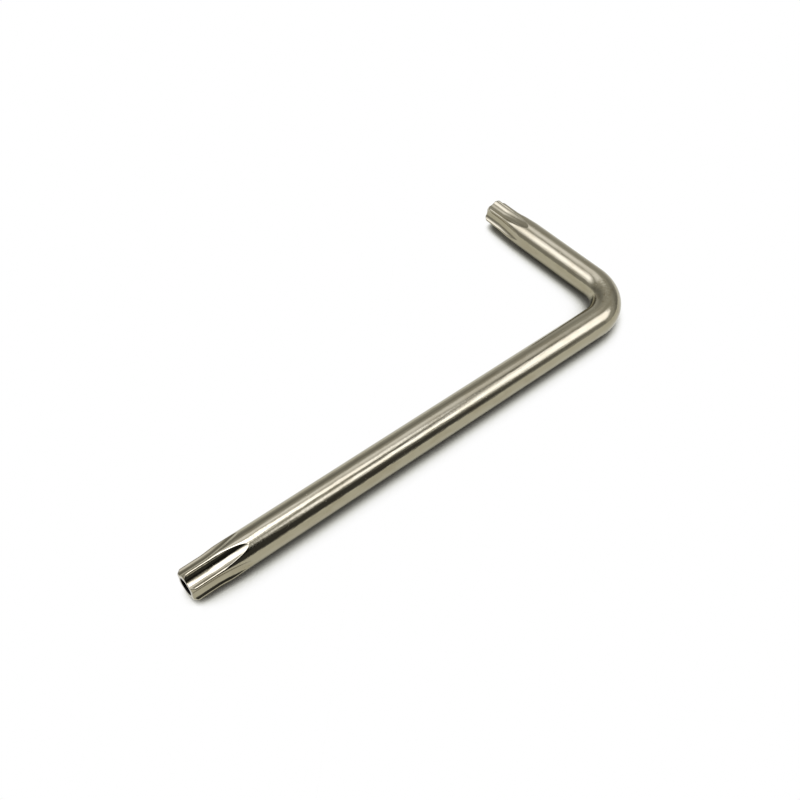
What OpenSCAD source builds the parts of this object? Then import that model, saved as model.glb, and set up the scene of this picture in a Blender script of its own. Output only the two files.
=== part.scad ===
// Star key: a bent driver for six-lobed screws that have a pin in the middle of the recess.
// It is one length of round steel wire. Each end is pressed to a six-lobed star and drilled to pass
// over the pin, the wire is bent square, and the whole key is nickel plated.
// The key lies flat with its origin under the middle of its box. +X runs along the long arm from its
// star to the bend, +Y along the short arm from the bend to its star, and +Z is up.

/* [Wire] */
// Diameter of the round wire
wire_d = 3.5; // [3.4:0.1:4.5]
// Length of the long arm, from its end to the outside of the bend
long_arm = 59; // [40:1:120]
// Length of the short arm, from its end to the outside of the bend
short_arm = 23; // [18:0.2:40]
// Radius on the inside of the bend
bend_inside_r = 3; // [1.5:0.1:6]

/* [Star] */
// Diameter over the lobes
star_d = 3.27; // [3:0.01:3.4]
// Diameter over the floors of two opposite flutes
floor_d = 2.34; // [2.1:0.01:2.5]
// Radius on the crest of a lobe
lobe_r = 0.15; // [0.12:0.01:0.35]
// Length over which the lobes keep the diameter of the star
lobe_len = 2.6; // [1.5:0.1:5]
// Length over which the lobes then swell to the wire
lobe_swell = 1.4; // [0.5:0.1:3]
// Length over which the flutes keep their full depth
flute_len = 3; // [2:0.1:6]
// Length over which the flutes then run out to the surface of the wire
flute_runout = 3.3; // [1.5:0.1:5]
// Length of the chamfer on the ends of the lobes
chamfer_len = 0.38; // [0.1:0.02:0.8]
// Depth of that chamfer into the lobes
chamfer_depth = 0.28; // [0.1:0.02:0.4]
// Turn of the long arm's star from a lobe straight up, towards the outside of the bend
long_star_turn = -5; // [-30:1:30]
// Turn of the short arm's star from a lobe straight up, towards the inside of the bend
short_star_turn = -12; // [-30:1:30]

/* [Pin holes] */
// Diameter of the hole for the screw's pin
pin_hole_d = 1.7; // [1:0.05:1.9]
// Depth of the hole, without its drill point
pin_hole_depth = 4; // [2:0.1:8]
// Angle of the drill point
drill_angle = 118; // [90:1:140]

/* [Hidden] */
$fn = 96;
lobes = 6;
pitch = 360 / lobes;
wire_r = wire_d / 2;
star_r = star_d / 2;
floor_r = floor_d / 2;
pin_hole_r = pin_hole_d / 2;
bend_r = bend_inside_r + wire_r;
long_straight = long_arm - wire_r - bend_r;
short_straight = short_arm - wire_r - bend_r;

// The star's outline is round crests and round flutes that run into each other. The radius of a flute
// and the distance of its centre from the axis follow from the two diameters and the crest.
lobe_at = star_r - lobe_r;
// A flute cuts this far into the crests beside it, so that no two of the faces only touch.
flute_bite = 0.005;
floor_step = floor_r - lobe_r + flute_bite;
flute_at = (lobe_at ^ 2 - floor_step ^ 2) / (2 * (lobe_at * cos(pitch / 2) - floor_step));
flute_r = flute_at - floor_r;
// The core reaches just past a crest towards the centre of a flute, as a share of that way.
core_share = (lobe_r + flute_bite) / (lobe_r + flute_r - flute_bite);

// A flute runs out along a straight floor that climbs to the surface of the wire.
runout_angle = atan2(wire_r - floor_r, flute_runout);
// The swelling shank starts inside the star, where its nose is no wider than the lobes' centres. Its
// place is a share of the shorter length, so near the end of it that the run-outs don't cross there.
nose_share = 0.8;
nose_at = nose_share * min(lobe_len, flute_len);
// The star goes on inside the shank to where the shank has covered it.
star_len = max(lobe_len, flute_len) + min(lobe_swell, flute_runout) / 2;
// Room that a cutter has past the surface that it leaves
spare = 1;

function polar(r, angle) = [r * cos(angle), r * sin(angle)];
// Corner of the star's core between the crest of a lobe and the flute on one side of it
function core_corner(lobe, side) =
    polar(lobe_at, pitch * lobe) * (1 - core_share)
    + polar(flute_at, pitch * (lobe + side / 2)) * core_share;

module star_outline() {
    difference() {
        union() {
            polygon([for (lobe = [0 : lobes - 1], side = [-1, 1]) core_corner(lobe, side)]);
            for (lobe = [0 : lobes - 1])
                rotate(pitch * lobe)
                    translate([lobe_at, 0])
                        circle(lobe_r);
        }
        for (lobe = [0 : lobes - 1])
            rotate(pitch * (lobe + 0.5))
                translate([flute_at, 0])
                    circle(flute_r);
    }
}

// Round cutter along the straight floor of one run-out
module runout_cutter() {
    translate([floor_r, 0, flute_len])
        rotate([0, runout_angle, 0])
            translate([flute_r, 0, -flute_len])
                cylinder(r = flute_r, h = 2 * flute_len + flute_runout);
}

// Shank of an arm, which swells out of the star to the wire, with the six run-outs cut in it
module shank(straight, star_turn) {
    difference() {
        rotate_extrude()
            polygon([
                [0, nose_at],
                [lobe_at, nose_at],
                [star_r, lobe_len],
                [wire_r, lobe_len + lobe_swell],
                [wire_r, straight],
                [0, straight]
            ]);
        for (lobe = [0 : lobes - 1])
            rotate(star_turn + pitch * (lobe + 0.5))
                runout_cutter();
    }
}

// Ring that bevels the ends of the lobes. Its bevel goes on past the lobes and past the end.
module end_chamfer() {
    bevel_end_r = star_r + chamfer_depth;
    rotate_extrude()
        polygon([
            [star_r - 2 * chamfer_depth, -chamfer_len],
            [bevel_end_r, 2 * chamfer_len],
            [bevel_end_r + spare, 2 * chamfer_len],
            [bevel_end_r + spare, -chamfer_len]
        ]);
}

module pin_hole() {
    point_len = pin_hole_r / tan(drill_angle / 2);
    rotate_extrude()
        polygon([
            [0, -spare],
            [pin_hole_r, -spare],
            [pin_hole_r, pin_hole_depth],
            [0, pin_hole_depth + point_len]
        ]);
}

// One arm, standing on its star end, up to where the bend starts
module arm(straight, star_turn) {
    difference() {
        union() {
            linear_extrude(star_len)
                rotate(star_turn)
                    star_outline();
            shank(straight, star_turn);
        }
        end_chamfer();
        pin_hole();
    }
}

module bend() {
    rotate(-90)
        rotate_extrude(angle = 90)
            translate([bend_r, 0])
                circle(wire_r);
}

module star_key() {
    color([0.72, 0.7, 0.64])
        translate([0, 0, wire_r]) {
            translate([-long_arm / 2, -short_arm / 2 + wire_r, 0])
                rotate([0, 90, 0])
                    arm(long_straight, long_star_turn);
            translate([long_arm / 2 - wire_r - bend_r, -short_arm / 2 + wire_r + bend_r, 0])
                bend();
            translate([long_arm / 2 - wire_r, short_arm / 2, 0])
                rotate(-90)
                    rotate([0, 90, 0])
                        arm(short_straight, short_star_turn);
        }
}

star_key();
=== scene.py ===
import math

import bpy
from mathutils import Matrix, Vector


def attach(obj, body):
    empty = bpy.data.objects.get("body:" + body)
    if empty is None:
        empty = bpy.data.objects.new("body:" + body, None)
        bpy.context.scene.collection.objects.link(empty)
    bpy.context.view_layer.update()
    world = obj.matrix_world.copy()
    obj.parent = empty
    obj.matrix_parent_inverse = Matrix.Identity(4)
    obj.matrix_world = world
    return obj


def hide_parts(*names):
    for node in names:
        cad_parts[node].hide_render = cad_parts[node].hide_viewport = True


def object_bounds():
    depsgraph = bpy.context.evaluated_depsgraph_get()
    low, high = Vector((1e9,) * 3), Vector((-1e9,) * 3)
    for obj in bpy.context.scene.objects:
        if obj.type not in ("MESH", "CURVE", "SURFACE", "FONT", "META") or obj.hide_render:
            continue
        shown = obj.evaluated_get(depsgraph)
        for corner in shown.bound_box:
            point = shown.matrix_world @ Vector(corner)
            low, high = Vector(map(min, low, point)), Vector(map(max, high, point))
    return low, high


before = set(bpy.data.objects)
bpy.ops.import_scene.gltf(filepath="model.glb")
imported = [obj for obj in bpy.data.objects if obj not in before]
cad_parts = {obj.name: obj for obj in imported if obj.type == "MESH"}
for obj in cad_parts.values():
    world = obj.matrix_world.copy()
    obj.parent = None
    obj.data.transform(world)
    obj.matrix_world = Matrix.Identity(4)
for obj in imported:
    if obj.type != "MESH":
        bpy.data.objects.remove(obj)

cad_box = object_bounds()


# Viewpoint
# The key lies flat and is seen from above its long arm's star, from about 10 cm away.
# The place and the turn of the camera were solved from the edges and ends of the wire.
millimetre = 0.001
camera_place = Vector((-44.3209, -55.2393, 78.9884)) * millimetre
camera_right = Vector((0.76877, -0.639336, 0.015569))
camera_down = Vector((-0.477008, -0.589454, -0.651926))
camera_forward = Vector((0.425977, 0.493754, -0.758123))

camera = bpy.data.cameras.new("viewpoint")
camera.sensor_width = 36
camera.lens = 44.6
camera.clip_start = 0.005
viewpoint = bpy.data.objects.new("viewpoint", camera)
turn = Matrix((camera_right, -camera_down, -camera_forward)).transposed()
viewpoint.matrix_world = Matrix.Translation(camera_place) @ turn.to_4x4()
bpy.context.collection.objects.link(viewpoint)
bpy.context.scene.camera = viewpoint


# Star key
# One length of round steel wire, bent square, with each end pressed to a six-lobed star and drilled
# for the pin of a tamper-proof screw. The flutes of the star run out to the surface of the wire.
# Nickel plate covers it all, over the fine lines and ripples that drawing leaves on the wire.


class Socket:
    """An output of a node that takes part in Python expressions."""

    def __init__(self, tree, output):
        self.tree = tree
        self.output = output

    @classmethod
    def node(cls, tree, kind, settings=None, inputs=None, output=0):
        """Adds a node of a kind, with its settings first and then the values or links of its sockets."""
        made = tree.nodes.new(kind)
        for name, value in (settings or {}).items():
            setattr(made, name, value)
        for name, value in (inputs or {}).items():
            if isinstance(value, Socket):
                tree.links.new(value.output, made.inputs[name])
            else:
                made.inputs[name].default_value = value
        return cls(tree, made.outputs[output])

    def math(self, operation, *others):
        values = dict(enumerate((self, *others)))
        return Socket.node(self.tree, "ShaderNodeMath", {"operation": operation}, values)

    def reflected(self, operation, first):
        return Socket.node(self.tree, "ShaderNodeMath", {"operation": operation}, {0: first, 1: self})

    def __add__(self, other):
        return self.math("ADD", other)

    def __radd__(self, other):
        return self.reflected("ADD", other)

    def __sub__(self, other):
        return self.math("SUBTRACT", other)

    def __rsub__(self, other):
        return self.reflected("SUBTRACT", other)

    def __mul__(self, other):
        return self.math("MULTIPLY", other)

    def __rmul__(self, other):
        return self.reflected("MULTIPLY", other)

    def __truediv__(self, other):
        return self.math("DIVIDE", other)

    def ramp(self, start, end, low=0.0, high=1.0, kind="LINEAR"):
        """Goes from low to high while this value goes from start to end, and stays there."""
        ends = {0: self, 1: start, 2: end, 3: low, 4: high}
        return Socket.node(self.tree, "ShaderNodeMapRange", {"interpolation_type": kind}, ends)


# Sizes in millimetres and turns in radians
key_sizes = {
    "Wire Radius": 1.75,
    "Long Straight": 52.5,
    "Short Straight": 16.5,
    "Bend Radius": 4.75,
    "Star Radius": 1.635,
    "Floor Radius": 1.17,
    "Crest Radius": 0.15,
    "Crest Length": 2.6,
    "Crest Swell": 1.4,
    "Flute Length": 2.3,
    "Flute Run-out": 4.0,
    "Chamfer Length": 0.38,
    "Chamfer Depth": 0.28,
    "Long Star Turn": math.radians(5),
    "Short Star Turn": math.radians(-12),
    "Hole Radius": 0.85,
    "Hole Depth": 4.0,
    "Drill Point": 0.85 / math.tan(math.radians(59)),
    "Edge Round": 0.05,
}
lobes = 6
crest_columns = 26
flute_columns = 24
pitch_columns = crest_columns + flute_columns
key_columns = lobes * pitch_columns
key_rows = {
    "point": 4, "wall": 8, "mouth": 4, "face": 3, "rim": 4, "chamfer": 6, "star": 12, "runout": 46,
    "fan": 8, "long": 8, "bend": 44, "short": 4,
}
end_stretches = ("point", "wall", "mouth", "face", "rim", "chamfer", "star", "runout", "fan")

form = bpy.data.node_groups.new("bent star wire", "GeometryNodeTree")
form.interface.new_socket("Geometry", in_out="OUTPUT", socket_type="NodeSocketGeometry")
for name in key_sizes:
    form.interface.new_socket(name, in_out="INPUT", socket_type="NodeSocketFloat")
form.interface.new_socket("Plate", in_out="INPUT", socket_type="NodeSocketMaterial")
form_input = form.nodes.new("NodeGroupInput")
size = {name: Socket(form, form_input.outputs[name]) for name in key_sizes}

# Rows run along the wire, from the bottom of the long arm's hole to the bottom of the short arm's.
# A stop is the row at which a stretch ends.
stop = {}
count = 0
for name in (*end_stretches, "long", "bend", "short"):
    stop[name + " start"] = count
    count += key_rows[name]
    stop[name] = count
last_row = count + stop[end_stretches[-1]]

grid = Socket.node(form, "GeometryNodeMeshGrid", {},
                   {"Vertices X": last_row + 1, "Vertices Y": key_columns + 1})
index = Socket.node(form, "GeometryNodeInputIndex")
rounding_slack = 1e-4
row = (index / (key_columns + 1) + rounding_slack).math("FLOOR")
column = index - row * (key_columns + 1)


def stretch(at_row, name):
    return at_row.ramp(stop[name + " start"], stop[name])


quarter_turn = math.pi / 2
fan_length = 1.0
runout_end = size["Flute Length"] + size["Flute Run-out"]
end_length = runout_end + fan_length


def outside_depth(at_row):
    """How far a row of the outside lies from the face of its end. Rows crowd where the flutes end."""
    rim = size["Edge Round"] * (1 - (stretch(at_row, "rim") * quarter_turn).math("COSINE"))
    chamfer = (size["Chamfer Length"] - size["Edge Round"]) * stretch(at_row, "chamfer")
    star = (size["Flute Length"] - size["Chamfer Length"]) * stretch(at_row, "star")
    runout_left = 1 - stretch(at_row, "runout")
    runout = size["Flute Run-out"] * (1 - runout_left * runout_left)
    return rim + chamfer + star + runout + fan_length * stretch(at_row, "fan")


def hole_depth(at_row):
    """How far a row of a hole lies from the face of its end."""
    mouth = (stretch(at_row, "mouth") * quarter_turn).math("SINE")
    wall = (size["Hole Depth"] - size["Edge Round"]) * stretch(at_row, "wall")
    point = size["Drill Point"] * (1 - stretch(at_row, "point"))
    return size["Hole Depth"] + point - wall - size["Edge Round"] * mouth


# Place along the middle of the wire, from the face of the long arm's end
bend_length = size["Bend Radius"] * quarter_turn
row_left = last_row - row
along = outside_depth(row) + hole_depth(row)
along = along + (end_length - outside_depth(row_left) - hole_depth(row_left))
along = along + (size["Long Straight"] - end_length) * stretch(row, "long")
along = along + bend_length * stretch(row, "bend")
along = along + (size["Short Straight"] - end_length) * stretch(row, "short")
end_row = row.math("MINIMUM", row_left)
depth = outside_depth(end_row)

# Columns run round the wire. Each lobe has some on its crest and some in the flutes beside it, so the
# rim of a flute always lies along a column. Shares run from the crest and from the floor to the rim.
half_pitch = math.pi / lobes
column_pitch = column / pitch_columns
nearest_lobe = column_pitch.math("ROUND")
off_lobe = (column_pitch - nearest_lobe) * pitch_columns
off_columns = off_lobe.math("ABSOLUTE")
crest_share = off_columns / (crest_columns / 2)
flute_share = (pitch_columns / 2 - off_columns) / (flute_columns / 2)
in_flute = off_columns.math("GREATER_THAN", crest_columns / 2)

# The crest of a lobe is a small circle, which grows to the whole wire while the flutes run out.
swell_lead = 0.3
swell_trail = 0.2
narrow_on = 0.6
swell_end = size["Crest Length"] + size["Crest Swell"]
full_radius = depth.ramp(size["Crest Length"] - swell_lead, swell_end + swell_trail,
                         size["Star Radius"], size["Wire Radius"], "SMOOTHSTEP")
star_crest_at = size["Star Radius"] - size["Crest Radius"]
crest_at = depth.ramp(size["Crest Length"] + narrow_on, runout_end, star_crest_at, 0.0, "SMOOTHSTEP")
crest_r = full_radius - crest_at

# A flute is a round groove that touches the crests of the star. Its floor then curves up to the wire.
floor_step = size["Floor Radius"] - size["Crest Radius"]
star_flute_at = (star_crest_at * star_crest_at - floor_step * floor_step) / (
    (star_crest_at * math.cos(half_pitch) - floor_step) * 2)
flute_r = star_flute_at - size["Floor Radius"]
climbed = ((depth - size["Flute Length"]) / size["Flute Run-out"]).math("MAXIMUM", 0.0)
climb_power = 1.5
climb = (size["Wire Radius"] - size["Floor Radius"]) * climbed.math("POWER", climb_power)
flute_at = star_flute_at + climb


def arc_to_rim(own_r, other_r):
    """Angle at the middle of one circle between the other circle's middle and the rim where they meet."""
    cosine = (apart * apart + own_r * own_r - other_r * other_r) / (apart * own_r * 2)
    return cosine.math("MINIMUM", 1.0).math("MAXIMUM", -1.0).math("ARCCOSINE")


crest_ahead = crest_at * math.cos(half_pitch)
crest_aside = crest_at * math.sin(half_pitch)
apart = ((flute_at - crest_ahead) * (flute_at - crest_ahead) + crest_aside * crest_aside).math("SQRT")
flute_half = crest_aside.math("ARCTAN2", flute_at - crest_ahead) + arc_to_rim(flute_r, crest_r)
flute_ahead = flute_at * math.cos(half_pitch) - crest_at
flute_aside = flute_at * math.sin(half_pitch)
crest_half = flute_aside.math("ARCTAN2", flute_ahead) - arc_to_rim(crest_r, flute_r)

# Past the end of the flutes their columns fan out until all columns are even.
even_flute = half_pitch * flute_columns / pitch_columns
fan = depth.ramp(runout_end, end_length, 0.0, even_flute)
crest_turn = (crest_half - fan) * crest_share
crest_out = crest_at + crest_r * crest_turn.math("COSINE")
crest_side = crest_r * crest_turn.math("SINE")
flute_turn = flute_half * flute_share
flute_out = flute_at - flute_r * flute_turn.math("COSINE")
flute_side = flute_r * flute_turn.math("SINE")


def crest_or_flute(on_crest, on_flute):
    return on_crest + (on_flute - on_crest) * in_flute


crest_far = (crest_out * crest_out + crest_side * crest_side).math("SQRT")
flute_far = (flute_out * flute_out + flute_side * flute_side).math("SQRT")
outside = crest_or_flute(crest_far, flute_far.math("MINIMUM", full_radius))
crest_angle = crest_side.math("ARCTAN2", crest_out)
flute_angle = half_pitch - flute_side.math("ARCTAN2", flute_out) - fan * flute_share
from_lobe = off_lobe.math("SIGN") * crest_or_flute(crest_angle, flute_angle)

# Angle round the wire, from straight up towards the inside of the bend
turn_change = size["Short Star Turn"] - size["Long Star Turn"]
star_turn = size["Long Star Turn"] + turn_change * stretch(row, "bend")
around = nearest_lobe * (2 * half_pitch) + from_lobe + star_turn

# The bevel on the ends of the lobes, the hole, and the face between them
bevel = size["Chamfer Depth"] * (depth / size["Chamfer Length"] - 1) + size["Star Radius"]
bevel_blend = 0.06
outside = outside.math("SMOOTH_MIN", bevel, bevel_blend)
mouth_turn = stretch(end_row, "mouth") * quarter_turn
inside = size["Hole Radius"] * stretch(end_row, "point")
inside = inside + size["Edge Round"] * (1 - mouth_turn.math("COSINE"))
rim_turn = stretch(end_row, "rim") * quarter_turn
edge = outside - size["Edge Round"] * (1 - rim_turn.math("SINE"))
radius = inside + (edge - inside) * stretch(end_row, "face")

# The path of the wire: the long arm along X, the bend, the short arm along Y
key_low = cad_box[0]
bend_turn = (along - size["Long Straight"]).math("MAXIMUM", 0.0).math("MINIMUM", bend_length)
bend_turn = bend_turn / size["Bend Radius"]
bend_sine = bend_turn.math("SINE")
bend_cosine = bend_turn.math("COSINE")
sideways = radius * around.math("SINE")
x = along.math("MINIMUM", size["Long Straight"]) + (size["Bend Radius"] - sideways) * bend_sine
y = size["Bend Radius"] * (1 - bend_cosine) + sideways * bend_cosine + size["Wire Radius"]
y = y + (along - size["Long Straight"] - bend_length).math("MAXIMUM", 0.0)
z = radius * around.math("COSINE") + size["Wire Radius"]
place = Socket.node(form, "ShaderNodeCombineXYZ", {}, {
    0: x * millimetre + key_low[0],
    1: y * millimetre + key_low[1],
    2: z * millimetre + key_low[2],
})
wire_place = Socket.node(form, "ShaderNodeCombineXYZ", {}, {
    0: radius * around.math("COSINE"),
    1: radius * around.math("SINE"),
    2: along,
})
laid = Socket.node(form, "GeometryNodeSetPosition", {}, {"Geometry": grid, "Position": place})
marked = Socket.node(form, "GeometryNodeStoreNamedAttribute",
                     {"data_type": "FLOAT_VECTOR", "domain": "POINT"},
                     {"Geometry": laid, "Name": "wire_place", "Value": wire_place})
seam_reach = 1e-7
closed = Socket.node(form, "GeometryNodeMergeByDistance", {}, {"Geometry": marked, "Distance": seam_reach})
smooth = Socket.node(form, "GeometryNodeSetShadeSmooth", {}, {"Geometry": closed})
realized = Socket.node(form, "GeometryNodeRealizeInstances", {}, {"Geometry": smooth})
plated = Socket.node(form, "GeometryNodeSetMaterial", {}, {
    "Geometry": realized,
    "Material": Socket(form, form_input.outputs["Plate"]),
})
form_output = form.nodes.new("NodeGroupOutput")
form.links.new(plated.output, form_output.inputs["Geometry"])

# The plate: bright nickel with a warm cast. Drawing left fine lines along the wire and faint ripples across
# it, bending left a grained surface, and handling left a few nicks and a thin haze. The drilled holes are
# painted near black as painted shade for their dark insides, and are left rough.
nickel_colour = (0.355, 0.326, 0.23, 1)
tarnish_colour = (0.28, 0.245, 0.157, 1)
# Painted shade: a near-black colour that stands for the dark inside of the drilled holes
hole_shade_colour = (0.012, 0.011, 0.01, 1)
polish_roughness = 0.03
hole_roughness = 0.6
nickel = bpy.data.materials.new("nickel_plate")
nickel.use_nodes = True
nickel_tree = nickel.node_tree
nickel_shader = nickel_tree.nodes["Principled BSDF"]
nickel_shader.inputs["Metallic"].default_value = 1.0
on_wire = Socket.node(nickel_tree, "ShaderNodeAttribute", {"attribute_name": "wire_place"}, output="Vector")


def wire_noise(across, along, detail):
    """Noise with so many blots to a millimetre across the wire and along it."""
    blots = Socket.node(nickel_tree, "ShaderNodeVectorMath", {"operation": "MULTIPLY"},
                        {0: on_wire, 1: (across, across, along)})
    return Socket.node(nickel_tree, "ShaderNodeTexNoise", {},
                       {"Vector": blots, "Scale": 1.0, "Detail": detail, "Roughness": 0.55}, "Fac")


def mixed(share, first, second):
    """A colour that goes from the first to the second with the share."""
    return Socket.node(share.tree, "ShaderNodeMix", {"data_type": "RGBA"},
                       {"Factor": share, 6: first, 7: second}, 2)


def raised(height, depth, below=None):
    """The normal over relief of a height from 0 to 1 times a depth in metres, on top of other relief."""
    relief = {"Strength": 1.0, "Distance": depth, "Height": height}
    if below:
        relief["Normal"] = below
    return Socket.node(nickel_tree, "ShaderNodeBump", {}, relief)


out_of_axis = Socket.node(nickel_tree, "ShaderNodeVectorMath", {"operation": "MULTIPLY"},
                          {0: on_wire, 1: (1, 1, 0)})
from_axis = Socket.node(nickel_tree, "ShaderNodeVectorMath", {"operation": "LENGTH"},
                        {0: out_of_axis}, "Value")
hole_edge = key_sizes["Hole Radius"] + 0.01
plate_edge = key_sizes["Hole Radius"] + 0.08
in_hole = from_axis.ramp(plate_edge, hole_edge, kind="SMOOTHSTEP")
haze = wire_noise(across=0.9, along=0.35, detail=4.0).ramp(0.42, 0.68, kind="SMOOTHSTEP")
draw_lines = wire_noise(across=6.0, along=0.7, detail=4.0)
ripples = wire_noise(across=1.6, along=3.4, detail=3.0)
nicks = wire_noise(across=6.0, along=4.0, detail=1.0).ramp(0.74, 0.80, kind="SMOOTHSTEP")

along_wire = Socket.node(nickel_tree, "ShaderNodeSeparateXYZ", {}, {0: on_wire}, "Z")
bend_start = key_sizes["Long Straight"]
bend_end = bend_start + key_sizes["Bend Radius"] * quarter_turn
bend_ease = 2.0
into_bend = along_wire.ramp(bend_start, bend_start + bend_ease, kind="SMOOTHSTEP")
out_of_bend = along_wire.ramp(bend_end - bend_ease, bend_end, 1.0, 0.0, "SMOOTHSTEP")
bend_grain = wire_noise(across=2.4, along=2.4, detail=3.0) * into_bend * out_of_bend
bend_spots = bend_grain.ramp(0.5, 0.7)

# How much each mark tarnishes and roughens the plate, and how deep its relief is in metres
tarnish = haze * 0.45 + nicks * 0.4 + bend_spots * 0.8
roughened = haze * 0.045 + draw_lines.ramp(0.45, 0.75) * 0.04 + nicks * 0.25 + bend_spots * 0.1
ripple_depth = 3.5e-6
line_depth = 9e-6
nick_depth = 3e-6
grain_depth = 1.2e-5

plate_colour = mixed(tarnish, nickel_colour, tarnish_colour)
# Inside the holes the plate colour gives way to the painted shade colour
plate_colour = mixed(in_hole, plate_colour, hole_shade_colour)
plate_roughness = polish_roughness + roughened
plate_roughness = plate_roughness + in_hole * (hole_roughness - plate_roughness)
plate_normal = raised(ripples, ripple_depth)
plate_normal = raised(draw_lines, line_depth, plate_normal)
plate_normal = raised(1 - nicks, nick_depth, plate_normal)
plate_normal = raised(bend_grain, grain_depth, plate_normal)
for socket_name, value in (("Base Color", plate_colour), ("Roughness", plate_roughness),
                           ("Normal", plate_normal)):
    nickel_tree.links.new(value.output, nickel_shader.inputs[socket_name])

star_key = bpy.data.objects.new("star_key_plated", bpy.data.meshes.new("star_key_plated"))
bpy.context.collection.objects.link(star_key)
bend_wire = star_key.modifiers.new("bent star wire", "NODES")
bend_wire.node_group = form
for item in form.interface.items_tree:
    if item.in_out == "INPUT":
        bend_wire[item.identifier] = nickel if item.name == "Plate" else key_sizes[item.name]
depsgraph = bpy.context.evaluated_depsgraph_get()
key_mesh = bpy.data.meshes.new_from_object(star_key.evaluated_get(depsgraph))
star_key.modifiers.remove(bend_wire)
star_key.data = key_mesh
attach(star_key, "root")
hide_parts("star_key")


# Floor
# White paper that the key lies on. It is pure white apart from the soft shadow close to the key, which is
# deeper on the side away from the brighter part of the room.
white = (1, 1, 1, 1)
shadow_edge_colour = (1, 1, 0.86, 1)
shadow_colour = (0.25, 0.243, 0.2, 1)
shadow_reach = 0.05
shadow_core = 0.33
shadow_edge = 0.7
floor_mesh = bpy.data.meshes.new("white_floor")
floor_half = 1.5
floor_mesh.from_pydata(
    [(-floor_half, -floor_half, 0), (floor_half, -floor_half, 0),
     (floor_half, floor_half, 0), (-floor_half, floor_half, 0)],
    [], [(0, 1, 2, 3)])
white_floor = bpy.data.objects.new("white_floor", floor_mesh)
bpy.context.collection.objects.link(white_floor)
paper = bpy.data.materials.new("white_paper")
paper.use_nodes = True
paper_tree = paper.node_tree
paper_tree.nodes.remove(paper_tree.nodes["Principled BSDF"])
brighter_side = Socket.node(paper_tree, "ShaderNodeVectorMath", {"operation": "NORMALIZE"},
                            {0: (0.03, 0.09, 1.0)})
open_sky = Socket.node(paper_tree, "ShaderNodeAmbientOcclusion", {"samples": 16},
                       {"Distance": shadow_reach, "Normal": brighter_side}, "AO")
unshaded = open_sky.ramp(shadow_core, shadow_edge, kind="SMOOTHSTEP")
seen = Socket.node(paper_tree, "ShaderNodeLightPath", output="Is Camera Ray")
seen = seen + Socket.node(paper_tree, "ShaderNodeLightPath", output="Is Glossy Ray")
seen = seen + Socket.node(paper_tree, "ShaderNodeLightPath", output="Is Transmission Ray")
lit_paper = Socket.node(paper_tree, "ShaderNodeBsdfDiffuse", {}, {"Color": shadow_colour})
bright_paper = Socket.node(paper_tree, "ShaderNodeEmission", {},
                           {"Color": mixed(unshaded, shadow_edge_colour, white)})
paper_look = Socket.node(paper_tree, "ShaderNodeMixShader", {}, {
    0: unshaded * seen.math("MINIMUM", 1.0),
    1: lit_paper,
    2: bright_paper,
})
paper_tree.links.new(paper_look.output, paper_tree.nodes["Material Output"].inputs["Surface"])
floor_mesh.materials.append(paper)


# Light
# A room with pale walls, soft lamps overhead and some dark things, as the wire of the key mirrors them. Each
# has its azimuth from X, its elevation, half its width and height as tangents, its tilt, the softness of
# its edge, and how much it adds to the walls or takes from them.
room_lamps = (
    (-32.0, 41.4, 0.32, 0.22, 43.5, 0.44, 2.5),
    (15.7, 74.7, 0.15, 0.24, -53.7, 0.47, 2.6),
    (45.9, 54.4, 0.23, 0.12, -0.7, 0.95, 0.95),
    (138.6, 50.3, 0.38, 0.23, 82.2, 0.95, 2.6),
    (77.7, 57.9, 0.23, 0.12, -33.6, 0.87, 0.95),
    (-53.7, 50.4, 0.11, 0.15, -13.4, 0.63, 2.6),
    (-90.0, 87.5, 0.25, 0.47, 0.0, 0.28, 3.2),
    (24.5, 59.6, 0.20, 0.07, 28.7, 0.80, 0.35),
)
dark_things = (
    (-100.5, 28.4, 1.145, 0.436, -14.1, 0.32, 0.51),
    (-8.9, 7.7, 0.73, 0.20, 37.9, 0.95, 0.33),
    (87.1, 20.9, 0.69, 0.21, -21.3, 0.65, 0.25),
    (-90.0, 45.2, 0.30, 0.255, 89.2, 0.15, 0.51),
    (1.2, 61.6, 0.22, 0.06, 45.0, 0.60, 0.35),
    (-37.5, 57.2, 0.13, 0.06, 42.4, 0.70, 0.45),
)
wall_mean = 0.55
wall_slope = (0.11, 0.0, 0.02)
darkest_wall = 0.02
least_ahead = 0.05
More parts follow.
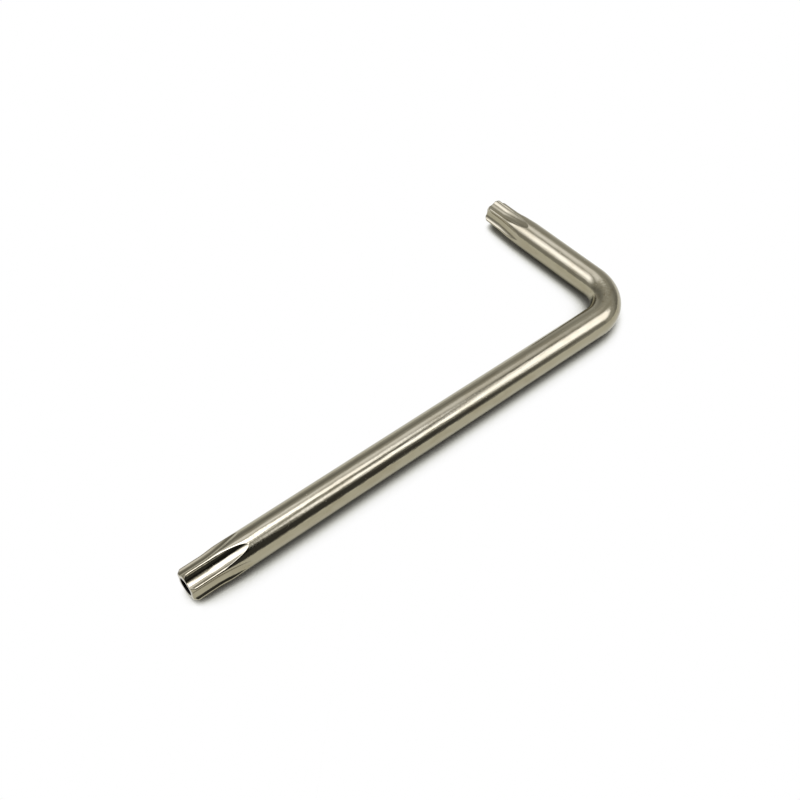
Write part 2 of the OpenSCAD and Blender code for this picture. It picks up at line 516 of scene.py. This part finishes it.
wall_colour = (1.0, 1.0, 1.03, 1)
lamp_colour = (1.0, 1.02, 1.25, 1)
room = bpy.data.worlds.new("pale_room")
bpy.context.scene.world = room
room.use_nodes = True
room_tree = room.node_tree
ray = Socket.node(room_tree, "ShaderNodeTexCoord", output="Generated")


def part_along(way):
    return Socket.node(room_tree, "ShaderNodeVectorMath", {"operation": "DOT_PRODUCT"},
                       {0: ray, 1: way}, "Value")


def patch(azimuth, elevation, half_width, half_height, tilt, softness, level):
    """How much a soft-edged patch of the room has of its level in the direction of a ray."""
    azimuth, elevation, tilt = (math.radians(angle) for angle in (azimuth, elevation, tilt))
    flat = math.cos(elevation)
    towards = Vector((flat * math.cos(azimuth), flat * math.sin(azimuth), math.sin(elevation)))
    level_way = Vector((0, 0, 1)).cross(towards).normalized()
    upright = towards.cross(level_way)
    wide = level_way * math.cos(tilt) + upright * math.sin(tilt)
    high = upright * math.cos(tilt) - level_way * math.sin(tilt)
    ahead = part_along(towards)
    reach = ahead.math("MAXIMUM", least_ahead)
    across = part_along(wide) / reach / half_width
    over = part_along(high) / reach / half_height
    out = (across * across + over * over).math("SQRT")
    glow = out.ramp(1 - softness, 1 + softness, 1.0, 0.0, "SMOOTHSTEP")
    return glow * level * ahead.math("GREATER_THAN", 0.0)


wall_level = wall_mean + part_along(wall_slope)
for dark_thing in dark_things:
    wall_level = wall_level - patch(*dark_thing)
lamp_level = patch(*room_lamps[0])
for lamp in room_lamps[1:]:
    lamp_level = lamp_level + patch(*lamp)
walls = Socket.node(room_tree, "ShaderNodeBackground", {},
                    {"Color": wall_colour, "Strength": wall_level.math("MAXIMUM", darkest_wall)})
lamps = Socket.node(room_tree, "ShaderNodeBackground", {}, {"Color": lamp_colour, "Strength": lamp_level})
lit_room = Socket.node(room_tree, "ShaderNodeAddShader", {}, {0: walls, 1: lamps})
room_tree.nodes.remove(room_tree.nodes["Background"])
room_tree.links.new(lit_room.output, room_tree.nodes["World Output"].inputs["Surface"])

bpy.context.scene.view_settings.view_transform = "Standard"
